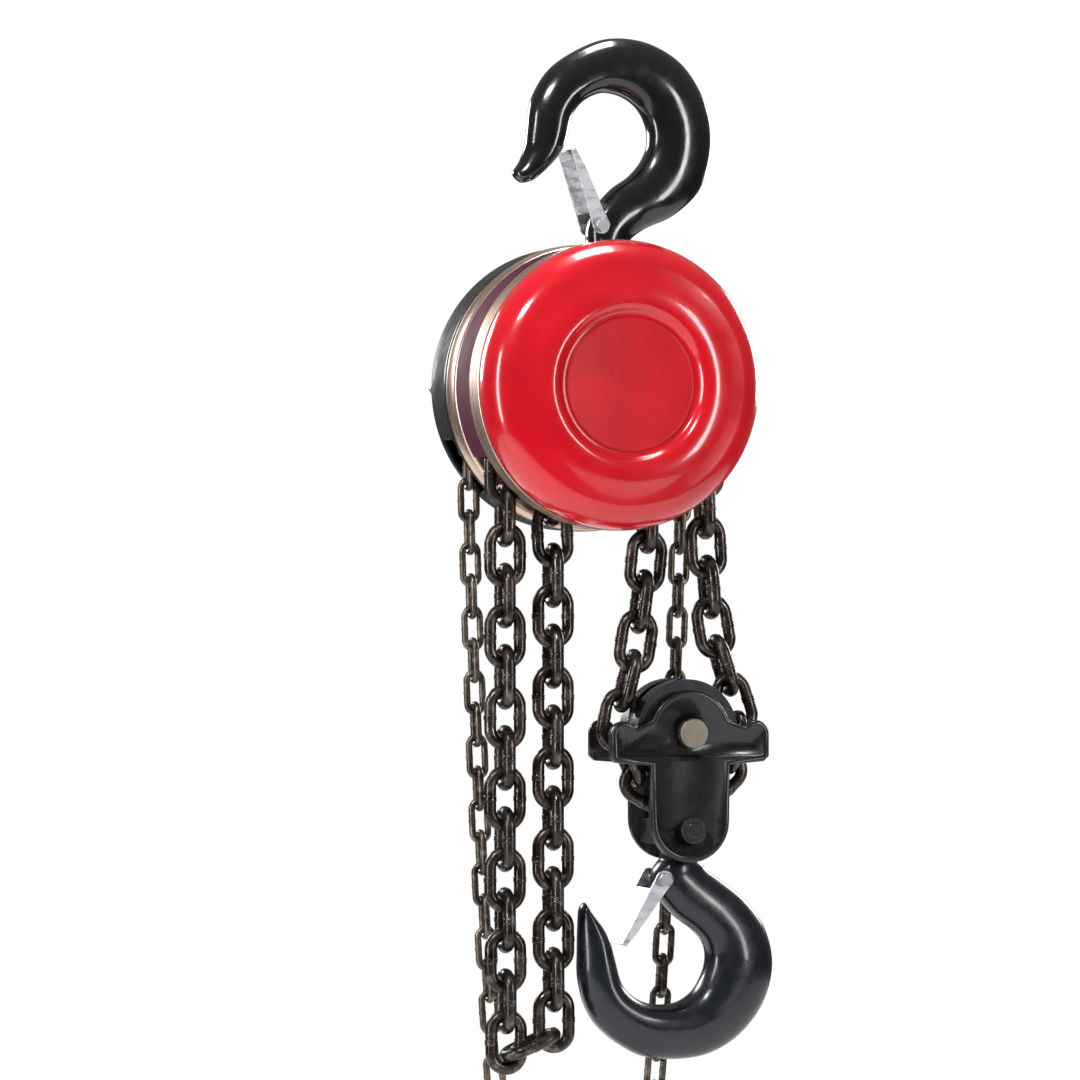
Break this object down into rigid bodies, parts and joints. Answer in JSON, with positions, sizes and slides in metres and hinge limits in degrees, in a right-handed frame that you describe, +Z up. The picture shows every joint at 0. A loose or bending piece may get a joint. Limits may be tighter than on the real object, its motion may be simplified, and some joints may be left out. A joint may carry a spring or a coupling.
{
  "type": "chain hoist",
  "caption": "Hand chain hoist: drum-shaped geared body hung from a swivelling safety hook, with a link-chain hook block below and an endless hand chain behind.",
  "frame": {"origin": "inside of the top hook's bowl at its highest point, where the hook rests on what carries it, in the load chain's plane", "axes": "+Z up along the hang; -Y towards the red gear cover, +Y towards the hand-chain wheel; +X towards the hook block's side"},
  "size_m": [0.245, 0.171, 1.0031],
  "materials": {
    "forged_black": "gloss black over a forging",
    "block_black": "satin black",
    "cover_black": "gloss black enamel",
    "cover_red": "gloss red enamel",
    "band_maroon": "satin dark maroon",
    "plate_steel": "warm pressed steel",
    "zinc_sheet": "zinc-plated sheet",
    "load_chain": "dark oiled alloy steel",
    "hand_chain": "dark zinc-plated steel",
    "fixings": "plated steel",
    "axle_brass_grey": "dull warm steel",
    "gear_steel": "machined steel",
    "cast": "as cast",
    "friction": "brake lining"
  },
  "bodies": {
    "top_hook": {"top_hook": "forged_black", "top_hook_nut": "fixings", "top_latch_pin": "fixings", "top_latch_spring": "fixings"},
    "top_latch": {"top_hook_latch": "zinc_sheet"},
    "suspension": {"suspension_yoke": "fixings"},
    "frame": {"front_side_plate": "plate_steel", "rear_side_plate": "plate_steel", "side_guard_left": "band_maroon", "side_guard_right": "band_maroon", "stay_spacers": "fixings", "stay_bolts": "fixings", "chain_anchor_pins": "fixings", "roller_pins": "fixings", "chain_stripper": "fixings", "sheave_bearings": "fixings", "gear_cover": "cover_red", "gear_cover_screws": "fixings", "name_disc": "cover_red", "pawl_pins": "fixings", "pawl_springs": "fixings", "hand_wheel_cover": "cover_black", "cover_studs": "fixings", "frame_nuts": "fixings", "load_chain_on_sheave": "load_chain", "slack_chain_held_end": "load_chain", "hand_chain_on_wheel": "hand_chain"},
    "roller_left": {"guide_roller_left": "fixings"},
    "roller_right": {"guide_roller_right": "fixings"},
    "sheave": {"load_sheave": "cast", "spline_gear": "gear_steel"},
    "disc_gear_right": {"disc_gear_right": "gear_steel"},
    "disc_gear_left": {"disc_gear_left": "gear_steel"},
    "input": {"pinion_shaft": "gear_steel", "brake_hub": "gear_steel", "friction_discs": "friction", "hand_wheel": "cast", "shaft_nut": "fixings"},
    "ratchet": {"ratchet_disc": "gear_steel"},
    "pawl_upper": {"pawl_upper": "fixings"},
    "pawl_lower": {"pawl_lower": "fixings"},
    "slack_chain": {"slack_chain_left": "load_chain", "slack_chain_right": "load_chain"},
    "hand_chain": {"hand_chain_left": "hand_chain", "hand_chain_right": "hand_chain"},
    "hook_block": {"block_front_half": "block_black", "block_rear_half": "block_black", "idler_axle": "axle_brass_grey", "idler_axle_nut": "fixings", "trunnion_caps": "block_black", "hook_crosshead": "block_black", "load_chain_live_fall": "load_chain", "load_chain_on_idler": "load_chain", "load_chain_dead_fall": "load_chain"},
    "idler": {"idler_sheave": "block_black"},
    "bottom_hook": {"bottom_hook": "forged_black", "bottom_hook_nut": "fixings", "bottom_latch_pin": "fixings", "bottom_latch_spring": "fixings"},
    "bottom_latch": {"bottom_hook_latch": "zinc_sheet"}
  },
  "joints": [
    {"name": "top_latch_open", "type": "hinge", "parent": "top_hook", "child": "top_latch", "pos_m": [-0.0095, 0, -0.0992], "axis": [0, 1, 0], "range_deg": [0, 30], "stiffness_Nm_per_rad": 0.1, "springref_deg": -17.19},
    {"name": "hook_swivel", "type": "hinge", "parent": "top_hook", "child": "suspension", "pos_m": [0, 0, -0.1327], "axis": [0, 0, 1], "continuous": true},
    {"name": "hoist_swing", "type": "hinge", "parent": "suspension", "child": "frame", "pos_m": [0, 0, -0.1327], "axis": [0, 1, 0], "range_deg": [-12, 12]},
    {"name": "hand_wheel_turn", "type": "hinge", "parent": "frame", "child": "input", "pos_m": [-0.007, 0, -0.2187], "axis": [0, 1, 0], "range_deg": [0, 2814.55], "deforming": ["hand_chain_on_wheel"]},
    {"name": "disc_gear_right_turn", "type": "hinge", "parent": "frame", "child": "disc_gear_right", "pos_m": [0.043, 0, -0.2187], "axis": [0, 1, 0], "range_deg": [-536.2, 0]},
    {"name": "disc_gear_left_turn", "type": "hinge", "parent": "frame", "child": "disc_gear_left", "pos_m": [-0.057, 0, -0.2187], "axis": [0, 1, 0], "range_deg": [-536.2, 0]},
    {"name": "load_sheave_turn", "type": "hinge", "parent": "frame", "child": "sheave", "pos_m": [-0.007, 0, -0.2187], "axis": [0, 1, 0], "range_deg": [0, 178.8], "deforming": ["load_chain_on_sheave"]},
    {"name": "ratchet_turn", "type": "hinge", "parent": "frame", "child": "ratchet", "pos_m": [-0.007, 0, -0.2187], "axis": [0, 1, 0], "range_deg": [0, 3.4]},
    {"name": "pawl_upper_lift", "type": "hinge", "parent": "frame", "child": "pawl_upper", "pos_m": [-0.04256, 0, -0.16791], "axis": [0, 1, 0], "range_deg": [0, 10], "stiffness_Nm_per_rad": 0.02, "springref_deg": -28.65},
    {"name": "pawl_lower_lift", "type": "hinge", "parent": "frame", "child": "pawl_lower", "pos_m": [0.02856, 0, -0.26949], "axis": [0, 1, 0], "range_deg": [0, 10], "stiffness_Nm_per_rad": 0.02, "springref_deg": -28.65},
    {"name": "guide_roller_left_turn", "type": "hinge", "parent": "frame", "child": "roller_left", "pos_m": [-0.019, 0, -0.3067], "axis": [0, 1, 0], "continuous": true},
    {"name": "guide_roller_right_turn", "type": "hinge", "parent": "frame", "child": "roller_right", "pos_m": [0.005, 0, -0.3067], "axis": [0, 1, 0], "continuous": true},
    {"name": "hook_block_travel", "type": "slide", "parent": "frame", "child": "hook_block", "axis": [0, 0, 1], "range_m": [-0.0601, 0], "deforming": ["load_chain_live_fall", "load_chain_dead_fall"]},
    {"name": "idler_turn", "type": "hinge", "parent": "hook_block", "child": "idler", "pos_m": [0.0564, 0, -0.4757], "axis": [0, 1, 0], "range_deg": [-72.2, 0]},
    {"name": "bottom_hook_swivel", "type": "hinge", "parent": "hook_block", "child": "bottom_hook", "pos_m": [0.0564, 0, -0.5477], "axis": [0, 0, 1], "range_deg": [-50, 25]},
    {"name": "bottom_latch_open", "type": "hinge", "parent": "bottom_hook", "child": "bottom_latch", "pos_m": [0.0395, 0, -0.5847], "axis": [0, 1, 0], "range_deg": [-36, 0], "stiffness_Nm_per_rad": 0.1, "springref_deg": 17.19},
    {"name": "slack_chain_swing", "type": "hinge", "parent": "frame", "child": "slack_chain", "pos_m": [-0.058, 0, -0.3562], "axis": [1, 0, 0], "range_deg": [-10, 2]},
    {"name": "hand_chain_swing", "type": "hinge", "parent": "frame", "child": "hand_chain", "pos_m": [-0.007, 0.053, -0.31755], "axis": [1, 0, 0], "range_deg": [-1.5, 12]}
  ],
  "couplings": [
    {"joint": "disc_gear_right_turn", "follows": "hand_wheel_turn", "ratio": -0.19048},
    {"joint": "disc_gear_left_turn", "follows": "hand_wheel_turn", "ratio": -0.19048},
    {"joint": "load_sheave_turn", "follows": "hand_wheel_turn", "ratio": 0.063492},
    {"joint": "hook_block_travel", "follows": "hand_wheel_turn", "m_per_rad": -0.0012126},
    {"joint": "idler_turn", "follows": "hand_wheel_turn", "ratio": -0.025397}
  ]
}
